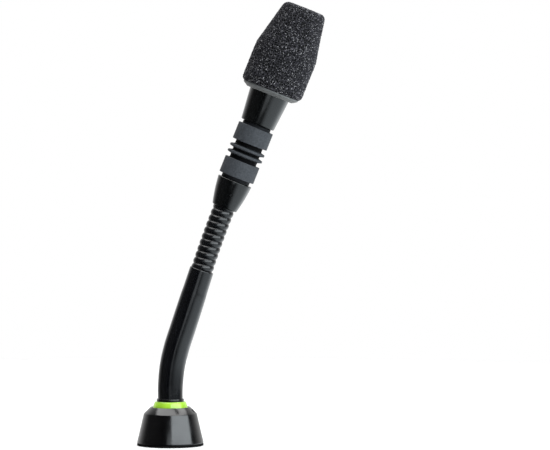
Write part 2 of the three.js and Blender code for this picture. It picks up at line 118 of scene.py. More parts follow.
# The head's own frame is on the axis through the capsule's hinge, and starts just below the adapter.
BELOW_ADAPTER = 0.1 * MM
HEAD_ON_AXIS = joint_at("capsule_unscrew")
ADAPTER_SPAN = span_along("neck_adapter", HEAD_AXIS, HEAD_ON_AXIS)
HEAD_ORIGIN = HEAD_ON_AXIS + HEAD_AXIS * (ADAPTER_SPAN[0] - BELOW_ADAPTER)
HEAD_TURN = UP.rotation_difference(HEAD_AXIS).to_matrix().to_4x4()
HEAD_FRAME = Matrix.Translation(HEAD_ORIGIN) @ HEAD_TURN
UPRIGHT = Matrix.Identity(4)


# ------------------------------------------------------------------------------------------ meshes

def new_piece(name, vertices, faces, material, smooth_angle=SMOOTH_ANGLE):
    mesh = bpy.data.meshes.new(name)
    mesh.from_pydata([tuple(v) for v in vertices], [], faces)
    mesh.validate()
    mesh.shade_smooth()
    mesh.set_sharp_from_angle(angle=math.radians(smooth_angle))
    obj = bpy.data.objects.new(name, mesh)
    bpy.context.scene.collection.objects.link(obj)
    mesh.materials.append(material)
    return obj


def resharpen(piece):
    """Marks the sharp edges again after a cut."""
    piece.data.set_sharp_from_angle(angle=math.radians(SMOOTH_ANGLE))


def around(sides):
    """The angles of a hoop's vertices."""
    return [2 * math.pi * k / sides for k in range(sides)]


def polar(radius, angle, height=0.0):
    return Vector((radius * math.cos(angle), radius * math.sin(angle), height))


def hoop_faces(hoops, sides):
    """The quads of a closed surface made of hoops of vertices. The last hoop joins the first."""
    faces = []
    for i in range(hoops):
        a, b = i * sides, (i + 1) % hoops * sides
        for k in range(sides):
            n = (k + 1) % sides
            faces.append([a + k, a + n, b + n, b + k])
    return faces


def meridian(node, place):
    """The closed outline [(radius, height), ...] of a turned CAD node, read along one of its meridians."""
    weld, on_axis, wanted_angle = 0.002 * MM, 0.05 * MM, 120
    work = bmesh.new()
    work.from_mesh(NODES[node].data)
    bmesh.ops.remove_doubles(work, verts=work.verts, dist=weld)
    bmesh.ops.transform(work, matrix=place.inverted(), verts=work.verts)
    by_angle = {}
    for v in work.verts:
        radius = math.hypot(v.co.x, v.co.y)
        if radius > on_axis:
            angle = round(math.degrees(math.atan2(v.co.y, v.co.x))) % 360
            by_angle.setdefault(angle, []).append(v)
    # Most meridians miss the radial holes, so the commonest count of vertices is a whole outline's.
    usual = Counter(len(found) for found in by_angle.values()).most_common(1)[0][0]
    whole = [angle for angle, found in by_angle.items() if len(found) == usual]
    chosen = min(whole, key=lambda angle: abs(angle - wanted_angle))
    ring = set(by_angle[chosen])
    ring |= {v for v in work.verts if math.hypot(v.co.x, v.co.y) <= on_axis}
    links = {v: [e.other_vert(v) for e in v.link_edges if e.other_vert(v) in ring] for v in ring}
    linked = [v for v in ring if links[v]]
    start = min(linked, key=lambda v: (len(links[v]), v.co.z, math.hypot(v.co.x, v.co.y)))
    path, last, here = [start], None, start
    while True:
        onward = [v for v in links[here] if v is not last and v not in path[1:]]
        onward = [v for v in onward if v is not start or len(path) > 2]
        if not onward or onward[0] is start:
            break
        last, here = here, onward[0]
        path.append(here)
    outline = [(math.hypot(v.co.x, v.co.y), v.co.z) for v in path]
    work.free()
    return outline


def eased(outline, radius, steps=3):
    """The outline with its corners rounded, each by no more than its shorter side allows."""
    slight_turn, share_of_side = math.radians(14), 0.42
    made = []
    for i, here in enumerate(outline):
        here = Vector(here)
        before = Vector(outline[i - 1]) - here
        after = Vector(outline[(i + 1) % len(outline)]) - here
        if here.x < ON_AXIS or math.pi - before.angle(after, math.pi) < slight_turn:
            made.append(tuple(here))
            continue
        reach = min(radius, before.length * share_of_side, after.length * share_of_side)
        first, second = here + before.normalized() * reach, here + after.normalized() * reach
        for k in range(steps + 1):
            t = k / steps
            made.append(tuple(first * (1 - t) ** 2 + here * 2 * t * (1 - t) + second * t * t))
    return made


def turned(name, outline, place, material, sides=ROUND, smooth_angle=SMOOTH_ANGLE):
    """A solid of revolution from a closed outline, or from one that starts and ends on the axis."""
    vertices, rows = [], []
    for radius, height in outline:
        if radius < ON_AXIS:
            rows.append([len(vertices)] * sides)
            vertices.append(Vector((0, 0, height)))
            continue
        rows.append(list(range(len(vertices), len(vertices) + sides)))
        vertices += [polar(radius, angle, height) for angle in around(sides)]
    faces = []
    for i, row in enumerate(rows):
        following = rows[(i + 1) % len(rows)]
        if row[0] == row[1] and following[0] == following[1]:
            continue
        for k in range(sides):
            n = (k + 1) % sides
            corners = [row[k], row[n], following[n], following[k]]
            faces.append(list(dict.fromkeys(corners)))
    obj = new_piece(name, [place @ v for v in vertices], faces, material, smooth_angle)
    face_outwards(obj)
    return obj


def face_outwards(obj):
    work = bmesh.new()
    work.from_mesh(obj.data)
    bmesh.ops.recalc_face_normals(work, faces=work.faces)
    if work.calc_volume(signed=True) < 0:
        bmesh.ops.reverse_faces(work, faces=work.faces)
    work.to_mesh(obj.data)
    work.free()


def stands_for(piece, body, slot, *nodes):
    """The piece rides on a body, and is shown in the place of CAD nodes. The slot is not used."""
    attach(piece, body)
    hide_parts(*nodes)


def returned(node, place, edge=0.15 * MM, sides=ROUND):
    """A CAD node turned again, finely, with its edges eased."""
    outline = eased(meridian(node, place), edge)
    piece = turned(f"{node}_fine", outline, place, LOOKS[SLOTS[node]], sides)
    stands_for(piece, NODES[node]["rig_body"], SLOTS[node], node)
    return piece


# --------------------------------------------------------------------------------------- materials

class Look:
    """A procedural material: a Principled shader, and helpers that add colour, roughness and relief."""

    MIX_FIRST, MIX_SECOND, MIX_RESULT = 6, 7, 2  # the colour sockets of a Mix node

    def __init__(self, name, colour, roughness, metallic=0.0, **sockets):
        self.material = bpy.data.materials.new(name)
        self.material.use_nodes = True
        self.tree = self.material.node_tree
        self.shader = self.tree.nodes["Principled BSDF"]
        self.set("Base Color", (*colour, 1.0))
        self.set("Roughness", roughness)
        self.set("Metallic", metallic)
        for socket, value in sockets.items():
            self.set(socket.replace("_", " "), value)
        self.colour = colour
        self.place = self.node("ShaderNodeTexCoord").outputs["Object"]
        self.normal = None

    def set(self, socket, value):
        self.shader.inputs[socket].default_value = value

    def node(self, kind, **settings):
        made = self.tree.nodes.new(kind)
        for key, value in settings.items():
            setattr(made, key, value)
        return made

    def link(self, source, target):
        self.tree.links.new(source, target)

    def stretched(self, stretch):
        """The object's coordinates, scaled along each axis."""
        mapping = self.node("ShaderNodeMapping")
        mapping.inputs["Scale"].default_value = stretch
        self.link(self.place, mapping.inputs["Vector"])
        return mapping.outputs["Vector"]

    def noise(self, size, detail=3.0, stretch=None):
        """Fractal noise whose features are about size metres across."""
        made = self.node("ShaderNodeTexNoise")
        made.inputs["Scale"].default_value = 1.0 / size
        made.inputs["Detail"].default_value = detail
        self.link(self.stretched(stretch) if stretch else self.place, made.inputs["Vector"])
        return made.outputs["Fac"]

    def ranged(self, value, low, high, start=0.3, end=0.7):
        """value, which runs from start to end, mapped to the range from low to high."""
        made = self.node("ShaderNodeMapRange")
        made.inputs["From Min"].default_value = start
        made.inputs["From Max"].default_value = end
        made.inputs["To Min"].default_value = low
        made.inputs["To Max"].default_value = high
        self.link(value, made.inputs["Value"])
        return made.outputs["Result"]

    def tint(self, factor, first, second):
        """The base colour runs from the first to the second colour with factor."""
        mix = self.node("ShaderNodeMix", data_type="RGBA")
        mix.inputs[self.MIX_FIRST].default_value = (*first, 1.0)
        mix.inputs[self.MIX_SECOND].default_value = (*second, 1.0)
        self.link(factor, mix.inputs[0])
        self.link(mix.outputs[self.MIX_RESULT], self.shader.inputs["Base Color"])
        return mix

    def cover(self, factor, under, colour):
        """The base colour runs from that of the mix node under it to a plain colour with factor."""
        mix = self.node("ShaderNodeMix", data_type="RGBA")
        mix.inputs[self.MIX_SECOND].default_value = (*colour, 1.0)
        self.link(factor, mix.inputs[0])
        self.link(under.outputs[self.MIX_RESULT], mix.inputs[self.MIX_FIRST])
        self.link(mix.outputs[self.MIX_RESULT], self.shader.inputs["Base Color"])

    def mottle(self, size, share, stretch=None):
        """The base colour is varied by a share of itself, up and down."""
        low = tuple(c * (1 - share) for c in self.colour)
        high = tuple(c * (1 + share) for c in self.colour)
        self.tint(self.ranged(self.noise(size, 4.0, stretch), 0.0, 1.0), low, high)

    def polish(self, size, low, high, stretch=None):
        """The roughness wanders between low and high."""
        roughness = self.ranged(self.noise(size, 3.0, stretch), low, high)
        self.link(roughness, self.shader.inputs["Roughness"])

    def carried(self, attribute):
        """A value that the mesh carries at each vertex."""
        return self.node("ShaderNodeAttribute", attribute_name=attribute).outputs["Fac"]

    def relief(self, height, depth):
        """Adds fine relief, depth metres deep, to what is there already."""
        bump = self.node("ShaderNodeBump")
        bump.inputs["Strength"].default_value = 1.0
        bump.inputs["Distance"].default_value = depth
        self.link(height, bump.inputs["Height"])
        if self.normal:
            self.link(self.normal, bump.inputs["Normal"])
        self.normal = bump.outputs["Normal"]
        self.link(self.normal, self.shader.inputs["Normal"])


def gloss_paint():
    look = Look("black_gloss", (0.001, 0.001, 0.0013), 0.2, Specular_IOR_Level=0.8)
    look.mottle(6 * MM, 0.25)
    look.polish(3 * MM, 0.16, 0.23)
    look.relief(look.noise(0.5 * MM, 2.0), 0.004 * MM)
    look.relief(look.noise(2.2 * MM, 2.0), 0.008 * MM)
    return look.material


def satin_paint():
    look = Look("black_satin", (0.0015, 0.0018, 0.002), 0.26, Specular_IOR_Level=0.62)
    look.mottle(2 * MM, 0.3)
    look.polish(2.5 * MM, 0.16, 0.23)
    look.relief(look.noise(0.22 * MM, 2.0), 0.005 * MM)
    return look.material


def sleeve_rubber():
    look = Look("sleeve_rubber", (0.002, 0.0022, 0.003), 0.25, Specular_IOR_Level=0.6)
    look.mottle(3 * MM, 0.3, (1, 1, 0.3))
    look.polish(2 * MM, 0.13, 0.2, (1, 1, 0.4))
    look.relief(look.noise(0.8 * MM, 2.0, (1, 1, 0.35)), 0.012 * MM)
    return look.material


def rib_steel():
    look = Look("rib_steel", (0.002, 0.0022, 0.003), 0.26, Specular_IOR_Level=0.6)
    look.mottle(1.5 * MM, 0.3)
    look.polish(1.2 * MM, 0.2, 0.32)
    look.relief(look.noise(0.4 * MM, 2.0), 0.006 * MM)
    return look.material


def mount_rubber():
    """Grey rubber, with painted shade in its grooves.

    The mesh carries a value that is 1 in the grooves, where the colour is painted near black as shade.
    """
    look = Look("mount_rubber", (0.036, 0.040, 0.046), 0.62, Specular_IOR_Level=0.3)
    groove_shade = look.carried("groove_shade")
    tone_noise = look.ranged(look.noise(0.7 * MM, 4.0), 0.0, 1.0)
    outer_tone = look.tint(tone_noise, (0.026, 0.029, 0.033), (0.046, 0.051, 0.059))
    # Painted shade: the grooves are painted near black.
    look.cover(groove_shade, outer_tone, (0.003, 0.003, 0.0035))
    # Painted shade: the grooves also reflect less.
    look.link(look.ranged(groove_shade, 0.3, 0.04, 0.0, 1.0), look.shader.inputs["Specular IOR Level"])
    look.polish(1.5 * MM, 0.55, 0.72)
    look.relief(look.noise(0.3 * MM, 3.0), 0.02 * MM)
    return look.material


def gasket_rubber():
    look = Look("gasket_rubber", (0.002, 0.002, 0.002), 0.7, Specular_IOR_Level=0.08)
    look.mottle(1 * MM, 0.3)
    look.relief(look.noise(0.3 * MM, 3.0), 0.02 * MM)
    return look.material


def clip_plastic():
    look = Look("clip_plastic", (0.09, 0.094, 0.094), 0.5)
    look.mottle(1.2 * MM, 0.16)
    look.polish(1 * MM, 0.42, 0.56)
    look.relief(look.noise(0.25 * MM, 3.0), 0.012 * MM)
    return look.material


def lit_acrylic():
    look = Look("green_acrylic", (0.33, 0.60, 0.035), 0.16, Transmission_Weight=0.18, Coat_Weight=0.4)
    cloud = look.ranged(look.noise(4 * MM, 2.0), 0.0, 1.0)
    look.tint(cloud, (0.28, 0.54, 0.028), (0.42, 0.70, 0.055))
    look.set("Emission Color", (0.42, 0.75, 0.06, 1.0))
    look.link(look.ranged(look.noise(5 * MM, 1.0), 0.04, 0.13), look.shader.inputs["Emission Strength"])
    look.relief(look.noise(0.6 * MM, 2.0), 0.004 * MM)
    return look.material


def turned_metal(name, colour, roughness):
    """Turned and plated metal: very fine rings, and a slight cloudiness."""
    look = Look(name, colour, roughness, 1.0)
    look.mottle(2 * MM, 0.12)
    look.polish(0.3 * MM, roughness * 0.75, roughness * 1.3, (0.15, 0.15, 1))
    look.relief(look.noise(0.12 * MM, 2.0, (0.1, 0.1, 1)), 0.004 * MM)
    return look.material


def moulded(name, colour, roughness):
    look = Look(name, colour, roughness)
    look.mottle(1 * MM, 0.18)
    look.polish(0.8 * MM, roughness * 0.85, roughness * 1.15)
    look.relief(look.noise(0.2 * MM, 2.0), 0.006 * MM)
    return look.material


def circuit_board():
    """Green solder mask over straight copper tracks, with a slightly glassy surface."""
    look = Look("circuit_board", (0.01, 0.11, 0.045), 0.32)
    tracks = look.node("ShaderNodeTexBrick")
    tracks.inputs["Scale"].default_value = 1 / (1.2 * MM)
    tracks.inputs["Mortar Size"].default_value = 0.09
    look.link(look.place, tracks.inputs["Vector"])
    look.tint(tracks.outputs["Fac"], (0.008, 0.10, 0.04), (0.03, 0.19, 0.07))
    look.relief(tracks.outputs["Fac"], 0.03 * MM)
    look.polish(1 * MM, 0.25, 0.4)
    return look.material


def led_lens():
    look = Look("led_lens", (0.75, 0.85, 0.5), 0.12, Transmission_Weight=0.3)
    look.mottle(0.5 * MM, 0.1)
    look.set("Emission Color", (0.55, 1.0, 0.2, 1.0))
    look.link(look.ranged(look.noise(0.6 * MM), 1.5, 2.5), look.shader.inputs["Emission Strength"])
    return look.material


def foam_plastic():
    """Open-cell foam.

    The mesh carries pore, which is 0 in a cell and up to 1 on its walls, and glint, which marks the
    ends of struts. The cells are painted near black as shade, and the glints are painted highlights.
    """
    look = Look("windscreen_foam", (0.03, 0.029, 0.036), 0.85, Specular_IOR_Level=0.3, Sheen_Weight=0.05)
    pore = look.ranged(look.carried("pore"), 0.0, 1.0, 0.0, 1.0)
    # Painted shade: the cells are painted near black; the walls have the foam's colour.
    walls = look.tint(pore, (0.0003, 0.0003, 0.0005), (0.038, 0.036, 0.046))
    # Painted highlights: bright specks where glint is set.
    look.cover(look.carried("glint"), walls, (0.4, 0.395, 0.4))
    look.polish(0.5 * MM, 0.7, 0.95)
    look.relief(look.noise(0.18 * MM, 3.0), 0.05 * MM)
    return look.material


LOOKS = {
    "gasket_rubber": gasket_rubber(),
    "black_gloss": gloss_paint(),
    "black_satin": satin_paint(),
    "plated_steel": turned_metal("plated_steel", (0.55, 0.55, 0.57), 0.3),
    "brass": turned_metal("brass", (0.72, 0.5, 0.2), 0.28),
    "circuit_board": circuit_board(),
    "black_plastic": moulded("black_plastic", (0.02, 0.02, 0.022), 0.45),
    "black_screw": turned_metal("black_screw", (0.03, 0.03, 0.032), 0.35),
    "led_lens": led_lens(),
    "green_acrylic": lit_acrylic(),
    "cable_jacket": moulded("cable_jacket", (0.05, 0.052, 0.056), 0.5),
    "sleeve_rubber": sleeve_rubber(),
    "rib_steel": rib_steel(),
    "mount_rubber": mount_rubber(),
    "clip_plastic": clip_plastic(),
    "windscreen_foam": foam_plastic(),
}
SLOTS = {part["node"]: part["material_slot"] for part in frame["record"]["subparts"]}


def finish_cad_nodes():
    """Every CAD node gets its slot's look, and smooth shading between its facets."""
    facet_turn = 32  # degrees, more than between two facets of a round node
    for name, obj in NODES.items():
        obj.data.materials.clear()
        obj.data.materials.append(LOOKS[SLOTS[name]])
        obj.data.shade_smooth()
        obj.data.set_sharp_from_angle(angle=math.radians(facet_turn))


# ----------------------------------------------------------------------------------- turned pieces

def turned_pieces():
    for node in (
        "base_gasket", "light_ring", "neck_flange", "neck_plug", "neck_socket", "isolation_washer",
        "steel_washer",
    ):
        returned(node, UPRIGHT)
    for node in (
        "head_housing", "windscreen_clip", "capsule_body", "capsule_seal", "shock_insert_lower",
        "shock_insert_upper",
    ):
        returned(node, HEAD_FRAME)


def cut_from(piece, tool):
    """Takes tool's volume out of piece."""
    step = piece.modifiers.new("cut", "BOOLEAN")
    step.operation = "DIFFERENCE"
    step.solver = "EXACT"
    step.object = tool
    apply_modifiers(piece)
    bpy.data.objects.remove(tool)


def apply_modifiers(piece):
    graph = bpy.context.evaluated_depsgraph_get()
    result = bpy.data.meshes.new_from_object(piece.evaluated_get(graph))
    piece.modifiers.clear()
    piece.data = result


def along(start, end):
    """A frame at the start whose Z points to the end."""
    return Matrix.Translation(start) @ UP.rotation_difference(end - start).to_matrix().to_4x4()


def drill(piece, start, end, radius):
    """Cuts a round hole between two points."""
    length = (end - start).length
    outline = [(0, 0), (radius, 0), (radius, length), (0, length)]
    cut_from(piece, turned("hole", outline, along(start, end), piece.data.materials[0], 32))


def screw_axis(node, place):
    """A radial screw's inner and outer end in the row frame, and its radius, from its CAD node."""
    local = [place.inverted() @ v.co for v in NODES[node].data.vertices]
    centre = sum(local, Vector()) / len(local)
    outward = Vector((centre.x, centre.y, 0)).normalized()
    reach = [v.dot(outward) for v in local]
    height = Vector((0, 0, centre.z))
    radius = max((v - height - outward * v.dot(outward)).length for v in local)
    return place @ (outward * min(reach) + height), place @ (outward * max(reach) + height), radius


def socket_screw(node, place):
    """A grub screw with a chamfered end, a hexagon socket and a cupped point."""
    inner, outer, radius = screw_axis(node, place)
    turn = along(inner, outer)
    length = (outer - inner).length
    chamfer = 0.12 * MM
    socket_depth = min(length * 0.4, radius * 1.3)
    socket_radius = radius * 0.55
    outline = [
        (0, chamfer), (radius * 0.45, 0), (radius * 0.8, 0), (radius, 0.15 * MM),
        (radius, length - chamfer), (radius - chamfer, length), (radius * 0.62, length), (0, length),
    ]
    screw = turned(f"{node}_fine", outline, turn, LOOKS[SLOTS[node]], 36)
    key = bmesh.new()
    bmesh.ops.create_cone(
        key, cap_ends=True, segments=6, radius1=socket_radius, radius2=socket_radius,
        depth=socket_depth * 2, matrix=turn @ Matrix.Translation((0, 0, length)),
    )
    mesh = bpy.data.meshes.new("key")
    key.to_mesh(mesh)
    key.free()
    tool = bpy.data.objects.new("key", mesh)
    bpy.context.scene.collection.objects.link(tool)
    cut_from(screw, tool)
    stands_for(screw, NODES[node]["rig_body"], SLOTS[node], node)


def mounting_stud():
    """The stud with a thread below its flange: a trapezoid ridge that climbs one pitch in each turn."""
    outline = meridian("mounting_stud", UPRIGHT)
    bore = min(r for r, _ in outline)
    top = max(z for _, z in outline)
    bottom = min(z for _, z in outline)
    flange = max(r for r, _ in outline)
    flange_bottom = min(z for r, z in outline if r > flange - 0.1 * MM)
    crest = sorted({round(r, 5) for r, _ in outline})[-2]
    pitch, depth, rows_per_pitch, sides = 1.5 * MM, 0.55 * MM, 10, 72
    thread_top = -1.5 * MM
    top_fade, bottom_fade, chamfer, bevel = 1 * MM, 0.8 * MM, 0.5 * MM, 0.2 * MM
    flank, valley_share = 2.2, 0.45  # how steep the ridge's sides are, and how wide its valley is

    def outside(z, angle):
        phase = (z / pitch - angle / (2 * math.pi)) % 1.0
        ridge = min(max(flank * (1 - abs(2 * phase - 1)) - valley_share, 0), 1)
        fade = min(max((thread_top - z) / top_fade, 0), 1) * min((z - bottom) / bottom_fade, 1)
        lead_in = max(chamfer - (z - bottom), 0)
        return crest - depth * (1 - ridge) * fade - lead_in

    count = round((flange_bottom - bottom) / (pitch / rows_per_pitch))
    rows = [(bore, bottom)]
    rows += [(None, bottom + (flange_bottom - bottom) * k / count) for k in range(count + 1)]
    rows += [(flange - bevel, flange_bottom), (flange, flange_bottom + bevel)]
    rows += [(flange, top - bevel), (flange - bevel, top), (bore, top)]
    vertices = [
        polar(outside(z, angle) if radius is None else radius, angle, z)
        for radius, z in rows for angle in around(sides)
    ]
    faces = hoop_faces(len(rows), sides)
    stud = new_piece("mounting_stud_thread", vertices, faces, LOOKS["plated_steel"], 50)
    face_outwards(stud)
    stands_for(stud, "base", "plated_steel", "mounting_stud")


def mounting_nut():
    """The hexagon nut with both faces chamfered to a circle."""
    corners = [v.co for v in NODES["mounting_nut"].data.vertices]
    bottom, top = min(v.z for v in corners), max(v.z for v in corners)
    bore = min(math.hypot(v.x, v.y) for v in corners)
    reach = max(math.hypot(v.x, v.y) for v in corners)
    flat = reach * math.cos(math.pi / 6)
    sides, per_side = 96, 16
    chamfer, row_height, rows_each_end = 0.5 * MM, 0.12 * MM, 8
    face, chamfer_slope = flat * 0.97, 1.8
    rows = [(bore, bottom + chamfer), (bore + chamfer, bottom), (face, bottom)]
    heights = [bottom + row_height * k for k in range(1, rows_each_end + 1)]
    rows += [(None, z) for z in heights] + [(None, bottom + top - z) for z in reversed(heights)]
    rows += [(face, top), (bore + chamfer, top), (bore, top - chamfer)]
    vertices = []
    for radius, z in rows:
        edge = min(z - bottom, top - z)
        for k, angle in enumerate(around(sides)):
            from_flat = ((k + per_side / 2) % per_side / per_side - 0.5) * math.pi / 3
            hexagon = flat / math.cos(from_flat)
            r = min(hexagon, face + edge * chamfer_slope) if radius is None else radius
            vertices.append(polar(r, angle, z))
    faces = hoop_faces(len(rows), sides)
    nut = new_piece("mounting_nut_fine", vertices, faces, LOOKS["plated_steel"], 25)
    face_outwards(nut)
    stands_for(nut, "nut", "plated_steel", "mounting_nut")


def capsule_grille():
    """The capsule's cap, turned with eased edges, with its round sound openings cut through."""
    openings, through = 6, 4 * MM
    local = [HEAD_FRAME.inverted() @ v.co for v in NODES["capsule_grille"].data.vertices]
    top = max(v.z for v in local)
    on_top = [math.hypot(v.x, v.y) for v in local if v.z > top - 0.01 * MM]
    rims = [radius for radius in on_top if 1.5 * MM < radius < 4.5 * MM]
    near, far = min(rims), max(rims)
    cap = returned("capsule_grille", HEAD_FRAME, 0.2 * MM)
    for angle in around(openings):
        low = polar((near + far) / 2, angle, top - through)
        drill(cap, HEAD_FRAME @ low, HEAD_FRAME @ (low + UP * 2 * through), (far - near) / 2)
    resharpen(cap)


def with_screw(node, place, edge, sides, screw):
    """A piece with a hole for its radial screw, and the screw in it."""
    piece = returned(node, place, edge, sides)
    inner, outer, radius = screw_axis(screw, place)
    beyond = (outer - inner).normalized() * 4 * MM
    drill(piece, inner, outer + beyond, radius + 0.1 * MM)
    resharpen(piece)
    socket_screw(screw, place)


# ----------------------------------------------------------------------------------- flexible neck

class Centreline:
    """The neck's centre line at rest: a smooth curve in the XZ plane through its joints."""

    def __init__(self, points, first_way, last_way):
        self.points = points
        self.lengths = [0.0]
        for a, b in zip(points, points[1:]):
            self.lengths.append(self.lengths[-1] + (b - a).length)
        inner = [(c - a).normalized() for a, c in zip(points, points[2:])]
        self.ways = [first_way, *inner, last_way]

    def at(self, length):
        """The point and the direction at a length along the line."""
        last = len(self.points) - 2
        i = next((k for k in range(last + 1) if length <= self.lengths[k + 1]), last)
        span = self.lengths[i + 1] - self.lengths[i]
        t = (length - self.lengths[i]) / span
        a, b = self.points[i], self.points[i + 1]
        u, v = self.ways[i] * span, self.ways[i + 1] * span
        point = a * (2 * t**3 - 3 * t**2 + 1) + u * (t**3 - 2 * t**2 + t)
        point = point + b * (3 * t**2 - 2 * t**3) + v * (t**3 - t**2)
        way = a * (6 * t**2 - 6 * t) + u * (3 * t**2 - 4 * t + 1)
        way = way + b * (6 * t - 6 * t**2) + v * (3 * t**2 - 2 * t)
        return point, way.normalized()

    def place(self, length):
        """A frame on the line whose Z runs along it and whose Y is the row frame's Y."""
        point, way = self.at(length)
        side = Vector((way.z, 0, -way.x))
        turn = Matrix((side, Vector((0, 1, 0)), way)).transposed().to_4x4()
        return Matrix.Translation(point) @ turn


NECK_FOOT = Vector((0, 0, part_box("neck_flange")[1].z))
NECK_HINGES = [Vector(j["pos_m"]) for j in LOWER_JOINTS + UPPER_JOINTS]
NECK_LINE = Centreline([NECK_FOOT, *NECK_HINGES, HEAD_ORIGIN], UP, HEAD_AXIS)
LOWER_AT = NECK_LINE.lengths[1 : 1 + len(LOWER_JOINTS)]
UPPER_AT = NECK_LINE.lengths[1 + len(LOWER_JOINTS) : -1]
NECK_END = NECK_LINE.lengths[-1]
SLEEVE_BOTTOM = 0.06 * MM
TOP_HINGE, TOP_WAY = NECK_LINE.at(UPPER_AT[0])
SLEEVE_TOP = UPPER_AT[0] + span_along("sleeve_segment_6", TOP_WAY, TOP_HINGE)[1]


def sleeve_radius(length):
    """The sleeve swells half way up, steps in above the ferrule's foot, and has a rounded top edge."""
    foot, taper, swelling = 4.87, 0.06, 0.2
    ferrule_length, ferrule_step, ferrule_ease = 9.4 * MM, 0.08, 0.35 * MM
    edge_length, edge_depth = 0.35 * MM, 0.3
    share = length / SLEEVE_TOP
    swell = swelling * math.sin(math.pi * min(max(share, 0), 1))
    above_step = length - (SLEEVE_TOP - ferrule_length)
    step = ferrule_step / (1 + math.exp(-above_step / ferrule_ease))
    past = min(max(1 - (SLEEVE_TOP - length) / edge_length, 0), 1)
    rounding = edge_depth * (1 - math.sqrt(1 - past**2))
    return (foot - taper * share + swell - step - rounding) * MM


def rib_radius(length, angle):
    """One right-handed coil of round wire: its crest climbs one pitch in each turn."""
    valley, rise, roundness = 3.87, 0.49, 0.8
    pitch = UPPER_AT[1] - UPPER_AT[0]
    phase = ((length - UPPER_AT[0]) / pitch - angle / (2 * math.pi)) % 1.0
    across = 2 * abs(phase - 0.5) - 1  # 0 on the crest, -1 in the valley
    return (valley + rise * max(1 - across**2, 0.0) ** roundness) * MM


def skin(name, start, end, radius_at, wall, slot, sides, step):
    """One closed length of a tube along the neck. radius_at takes a length and an angle."""
    count = max(2, math.ceil((end - start) / step))
    stations = [start + (end - start) * k / count for k in range(count + 1)]
    vertices = []
    for length in stations:
        place = NECK_LINE.place(length)
        vertices += [place @ polar(radius_at(length, angle), angle) for angle in around(sides)]
    for length in (end, start):
        place = NECK_LINE.place(length)
        vertices += [place @ polar(wall, angle) for angle in around(sides)]
    piece = new_piece(name, vertices, hoop_faces(len(stations) + 2, sides), LOOKS[slot])
    set_true_normals(piece, radius_at, sides, stations)
    return piece


def set_true_normals(piece, radius_at, sides, stations):
    """Gives the outer wall the whole tube's normals, so that no line shows where two lengths meet."""
    nudge, turn = 0.02 * MM, 0.01
    normals = []
    for length in stations:
        place = NECK_LINE.place(length).to_3x3()
        for angle in around(sides):
            rise = radius_at(length + nudge, angle) - radius_at(length - nudge, angle)
            swing = radius_at(length, angle + turn) - radius_at(length, angle - turn)
            out = polar(1, angle)
            tangent = Vector((-out.y, out.x, 0)) * (swing / (2 * turn * radius_at(length, angle)))
            normals.append(place @ (out - tangent - UP * (rise / (2 * nudge))).normalized())
    wanted = []
    for face in piece.data.polygons:
        on_wall = all(v < len(normals) for v in face.vertices)
        wanted += [normals[v] if on_wall else face.normal for v in face.vertices]
    piece.data.normals_split_custom_set(wanted)


def tube_stretch(prefix, joints, borders, radius_at, wall, slot, sides, step, nodes=()):
    """A chain of lengths of a tube, from border to border, one for each joint."""
    past_wall, margin = 0.5 * MM, 0.04 * MM
    for i, (joint, start, end) in enumerate(zip(joints, borders, borders[1:])):
        piece = skin(f"{prefix}_{i + 1:02d}", start, end, radius_at, wall, slot, sides, step)
        reach = radius_at(start, 0) + past_wall
        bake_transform(piece)
        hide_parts(*(nodes if i == 0 else ()))


def hinge_ball(name, place, radius, bore, reach, slot):
    """A barrel whose side is part of a sphere round a hinge, to close the slit of a tube cut there."""
    steps = 6
    heights = [reach * (k / steps - 1) for k in range(2 * steps + 1)]
    side = [(math.sqrt(radius**2 - h**2), h) for h in heights]
    return turned(name, [(bore, -reach), *side, (bore, reach)], place, LOOKS[slot], 64)


def neck_sleeve():
    """The sleeve's lengths meet half way between its joints."""
    nodes = [n for n in NODES if n.startswith("sleeve_segment_")]
    between = [(a + b) / 2 for a, b in zip(LOWER_AT, LOWER_AT[1:])]
    tube_stretch(
        "neck_sleeve", LOWER_JOINTS, [SLEEVE_BOTTOM, *between, SLEEVE_TOP],
        lambda length, _: sleeve_radius(length), 3.9 * MM, "sleeve_rubber", 96, 0.12 * MM, nodes,
    )


def neck_coil():
    """The coil is cut at its joints about Y, as a real one's turns part."""
    nodes = [n for n in NODES if n.startswith("neck_turn_")]
    hinges, cuts = UPPER_JOINTS[0::2], UPPER_AT[0::2]
    slot, sides, step = "rib_steel", 80, 0.1 * MM
    bore, ball_bore, ball_radius, ball_reach = 2.2 * MM, 2.25 * MM, 3.82 * MM, 2 * MM
    bottom, top = SLEEVE_TOP - 0.5 * MM, NECK_END + 0.3 * MM  # inside the sleeve, and inside the adapter
    foot = skin("neck_coil_foot", bottom, cuts[0], rib_radius, bore, slot, sides, step)
    stands_for(foot, hinges[0]["parent"], slot, *nodes)
    tube_stretch("neck_coil", UPPER_JOINTS[1::2], [*cuts, top], rib_radius, bore, slot, sides, step)
    for i, (hinge, cut) in enumerate(zip(hinges, cuts)):
        name = f"neck_coil_ball_{i + 1}"
        ball = hinge_ball(name, NECK_LINE.place(cut), ball_radius, ball_bore, ball_reach, slot)
        stands_for(ball, hinge["child"], slot)


# ------------------------------------------------------------------------------------- shock mount

def mark_groove_shade(piece, core, depth):
    """Stores how deep in a groove each vertex is, 1 at the core's radius and 0 from depth above it, for
    painted shade.
    """
    back = HEAD_FRAME.inverted()
    local = [back @ v.co for v in piece.data.vertices]
    values = [min(max((core + depth - math.hypot(v.x, v.y)) / depth, 0), 1) for v in local]
    piece.data.attributes.new("groove_shade", "FLOAT", "POINT").data.foreach_set("value", values)


